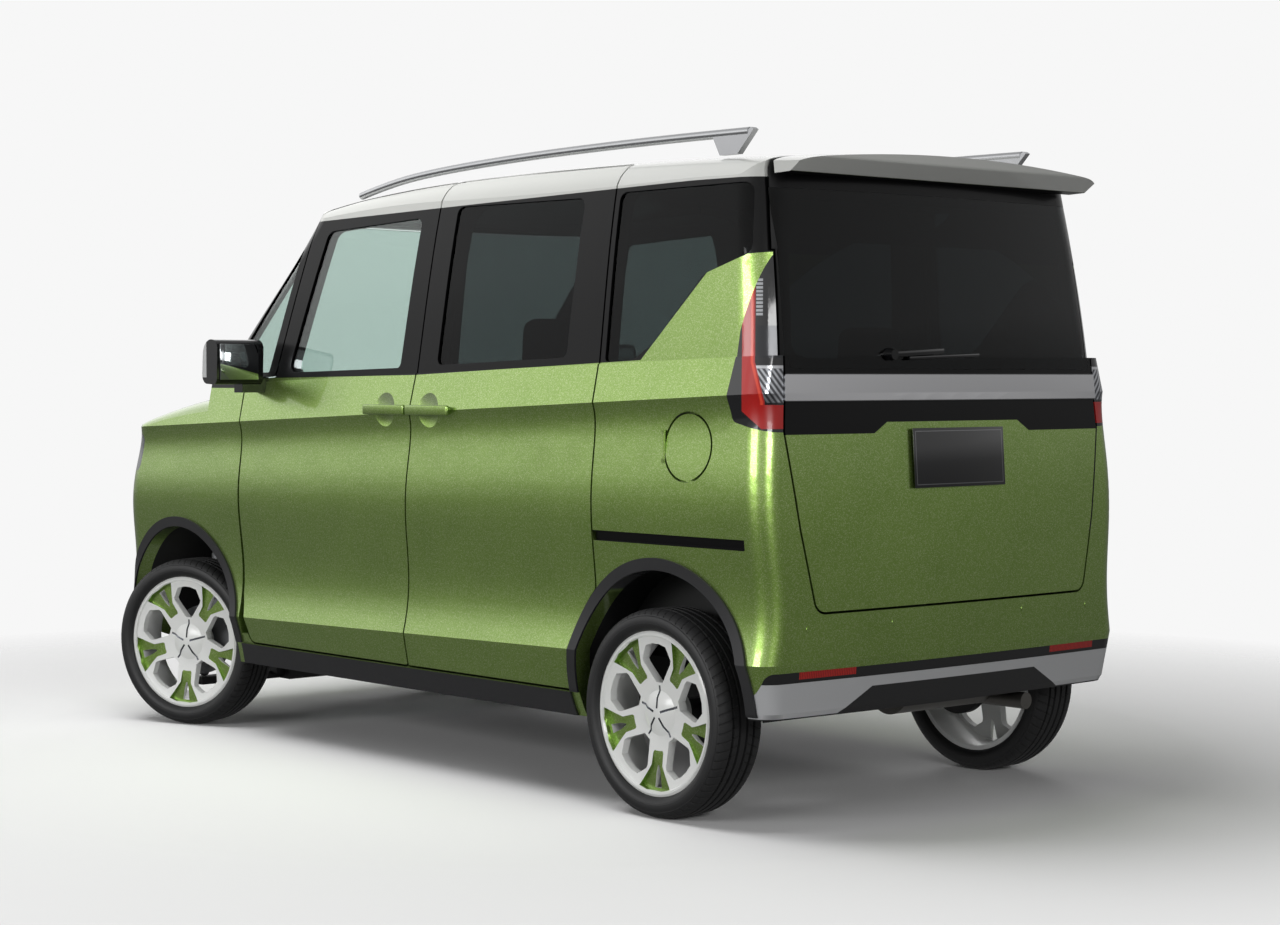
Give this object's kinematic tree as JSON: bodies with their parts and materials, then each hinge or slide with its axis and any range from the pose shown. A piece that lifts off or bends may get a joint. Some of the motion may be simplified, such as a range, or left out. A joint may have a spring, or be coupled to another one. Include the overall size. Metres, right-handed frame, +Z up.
{
  "type": "kei wagon",
  "caption": "Tall boxy kei wagon with sliding rear doors, a white roof over a metallic green body, black pillars, roof rails and five-window alloy wheels; it rolls, steers and opens.",
  "frame": {"origin": "on the ground under the middle of the car's overall length and width", "axes": "+Z up, the car faces -Y, +X is its left side"},
  "size_m": [1.801, 3.3967, 1.872],
  "materials": {
    "body_paint": "metallic gloss",
    "brushed_bar": "brushed",
    "chassis_steel": "primer",
    "clear_glass": "clear",
    "dash_plastic": "soft",
    "engine_alloy": "cast",
    "exhaust_steel": "brushed",
    "head_lens": "clear",
    "lamp_lens": "clear over red",
    "pillar_black": "satin",
    "privacy_glass": "tinted",
    "roof_paint": "pearl gloss",
    "seat_fabric": "woven",
    "silver_plastic": "satin silver",
    "trim_plastic": "grained",
    "tyre_rubber": "moulded",
    "wheel_paint": "painted"
  },
  "bodies": {
    "shell": {"a_pillars": "pillar_black", "body_side_left": "body_paint", "body_side_right": "body_paint", "cowl_panel": "trim_plastic", "dashboard": "dash_plastic", "engine_block": "engine_alloy", "exhaust": "exhaust_steel", "fenders": "body_paint", "floor_pan": "chassis_steel", "front_bumper": "body_paint", "front_grille": "trim_plastic", "front_quarter_glass": "clear_glass", "front_seats": "seat_fabric", "front_subframe": "chassis_steel", "fuel_tank": "trim_plastic", "headlamps": "head_lens", "rear_axle": "chassis_steel", "rear_bumper": "body_paint", "rear_bumper_insert": "trim_plastic", "rear_seats": "seat_fabric", "rear_skid_plate": "silver_plastic", "roof_panel": "roof_paint", "roof_rails": "silver_plastic", "side_frames": "roof_paint", "side_glass": "privacy_glass", "sill_trims": "trim_plastic", "sliding_door_left": "body_paint", "sliding_door_right": "body_paint", "tail_lamps": "lamp_lens", "wheel_arch_trims": "trim_plastic", "windscreen": "clear_glass"},
    "front_door_l": {"front_door_left": "body_paint", "front_door_glass_left": "clear_glass", "door_mirror_left": "silver_plastic"},
    "front_door_r": {"front_door_right": "body_paint", "front_door_glass_right": "clear_glass", "door_mirror_right": "silver_plastic"},
    "tailgate_set": {"tailgate": "body_paint", "tailgate_glass": "privacy_glass", "tailgate_garnish": "brushed_bar", "rear_spoiler": "roof_paint"},
    "bonnet_lid": {"bonnet": "body_paint"},
    "fuel_door": {"fuel_lid": "body_paint"},
    "hub_carrier_l": {"knuckle_left": "chassis_steel"},
    "hub_carrier_r": {"knuckle_right": "chassis_steel"},
    "front_wheel_l": {"front_rim_left": "wheel_paint", "front_tyre_left": "tyre_rubber"},
    "front_wheel_r": {"front_rim_right": "wheel_paint", "front_tyre_right": "tyre_rubber"},
    "rear_wheel_l": {"rear_rim_left": "wheel_paint", "rear_tyre_left": "tyre_rubber"},
    "rear_wheel_r": {"rear_rim_right": "wheel_paint", "rear_tyre_right": "tyre_rubber"},
    "wheel_column": {"steering_wheel": "dash_plastic"}
  },
  "joints": [
    {"name": "steer_left", "type": "hinge", "parent": "shell", "child": "hub_carrier_l", "pos_m": [0.605, -1.266, 0.17479], "axis": [-0.124, 0, 0.9923], "range_deg": [-53, 13]},
    {"name": "steer_right", "type": "hinge", "parent": "shell", "child": "hub_carrier_r", "pos_m": [-0.605, -1.266, 0.17479], "axis": [0.124, 0, 0.9923], "range_deg": [-53, 13]},
    {"name": "front_wheel_spin_left", "type": "hinge", "parent": "hub_carrier_l", "child": "front_wheel_l", "pos_m": [0.6465, -1.24598, 0.28635], "axis": [0.9406, 0.3394, -0.0074], "continuous": true},
    {"name": "front_wheel_spin_right", "type": "hinge", "parent": "hub_carrier_r", "child": "front_wheel_r", "pos_m": [-0.6465, -1.28602, 0.28635], "axis": [0.9406, 0.3394, 0.0074], "continuous": true},
    {"name": "rear_wheel_spin_left", "type": "hinge", "parent": "shell", "child": "rear_wheel_l", "pos_m": [0.65, 1.229, 0.286], "axis": [1, 0, 0], "continuous": true},
    {"name": "rear_wheel_spin_right", "type": "hinge", "parent": "shell", "child": "rear_wheel_r", "pos_m": [-0.65, 1.229, 0.286], "axis": [1, 0, 0], "continuous": true},
    {"name": "steering_column", "type": "hinge", "parent": "shell", "child": "wheel_column", "pos_m": [-0.345, -0.433, 1.01], "axis": [0, 0.9063, 0.4226], "range_deg": [-795, 195]},
    {"name": "front_door_hinge_left", "type": "hinge", "parent": "shell", "child": "front_door_l", "pos_m": [0.734, -0.84075, 0.8], "axis": [0, 0, -1], "range_deg": [0, 65]},
    {"name": "front_door_hinge_right", "type": "hinge", "parent": "shell", "child": "front_door_r", "pos_m": [-0.734, -0.84075, 0.8], "axis": [0, 0, 1], "range_deg": [0, 65]},
    {"name": "tailgate_hinge", "type": "hinge", "parent": "shell", "child": "tailgate_set", "pos_m": [0, 1.55075, 1.822], "axis": [1, 0, 0], "range_deg": [0, 80]},
    {"name": "bonnet_hinge", "type": "hinge", "parent": "shell", "child": "bonnet_lid", "pos_m": [0, -1.1835, 1.124], "axis": [-1, 0, 0], "range_deg": [0, 50]},
    {"name": "fuel_lid_hinge", "type": "hinge", "parent": "shell", "child": "fuel_door", "pos_m": [0.7215, 1.277, 1.014], "axis": [0, 0, -1], "range_deg": [0, 85]}
  ],
  "couplings": [
    {"joint": "steer_right", "follows": "steer_left", "ratio": 1},
    {"joint": "steering_column", "follows": "steer_left", "ratio": 15}
  ]
}
